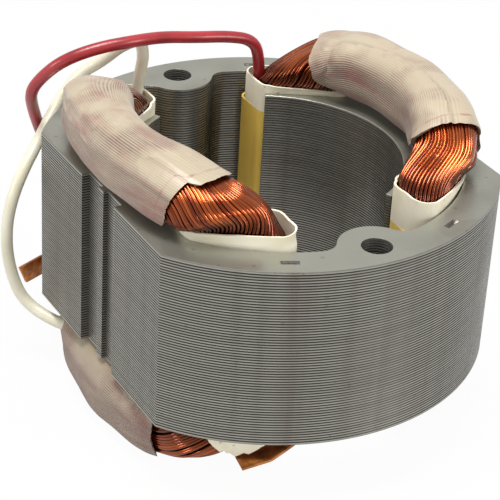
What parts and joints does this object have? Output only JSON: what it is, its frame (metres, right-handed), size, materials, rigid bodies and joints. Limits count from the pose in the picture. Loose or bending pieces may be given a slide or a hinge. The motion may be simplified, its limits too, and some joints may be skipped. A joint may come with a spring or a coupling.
{
  "type": "stator lamination stack",
  "caption": "Flat-sided stack of stamped steel sheets with a round bore and two inner poles, carrying two taped field coils in paper-lined slots, two leads and two contact strips.",
  "frame": {"origin": "on the bore axis, at the lower end face of the sheet stack, midway between the two screw holes", "axes": "+Z along the bore axis, from the plain end face to the one with the interlock dents; X through the two poles and the flats, Y through the two screw holes"},
  "size_m": [0.0738, 0.0804, 0.0603],
  "materials": {
    "stack_steel": "stamped electrical sheet, satin",
    "coil_wire": null,
    "coil_tape": "woven cloth tape, matt",
    "slot_paper": "insulating paper, matt",
    "slot_film": "insulating film, satin",
    "lead_red": "sleeved lead, satin",
    "lead_white": "sleeved lead, satin",
    "strip_metal": null
  },
  "bodies": {
    "root": {"coil_tape_lower_left": "coil_tape", "coil_tape_lower_right": "coil_tape", "coil_tape_upper_left": "coil_tape", "coil_tape_upper_right": "coil_tape", "contact_strip_front": "strip_metal", "contact_strip_rear": "strip_metal", "cuff_lower_front_left": "slot_paper", "cuff_lower_front_right": "slot_paper", "cuff_lower_rear_left": "slot_paper", "cuff_lower_rear_right": "slot_paper", "cuff_upper_front_left": "slot_paper", "cuff_upper_front_right": "slot_paper", "cuff_upper_rear_left": "slot_paper", "cuff_upper_rear_right": "slot_paper", "field_coil_left": "coil_wire", "field_coil_right": "coil_wire", "lamination_stack": "stack_steel", "red_lead": "lead_red", "slot_film_front_left": "slot_film", "slot_film_front_right": "slot_film", "slot_film_rear_left": "slot_film", "slot_film_rear_right": "slot_film", "white_lead": "lead_white"}
  },
  "joints": []
}
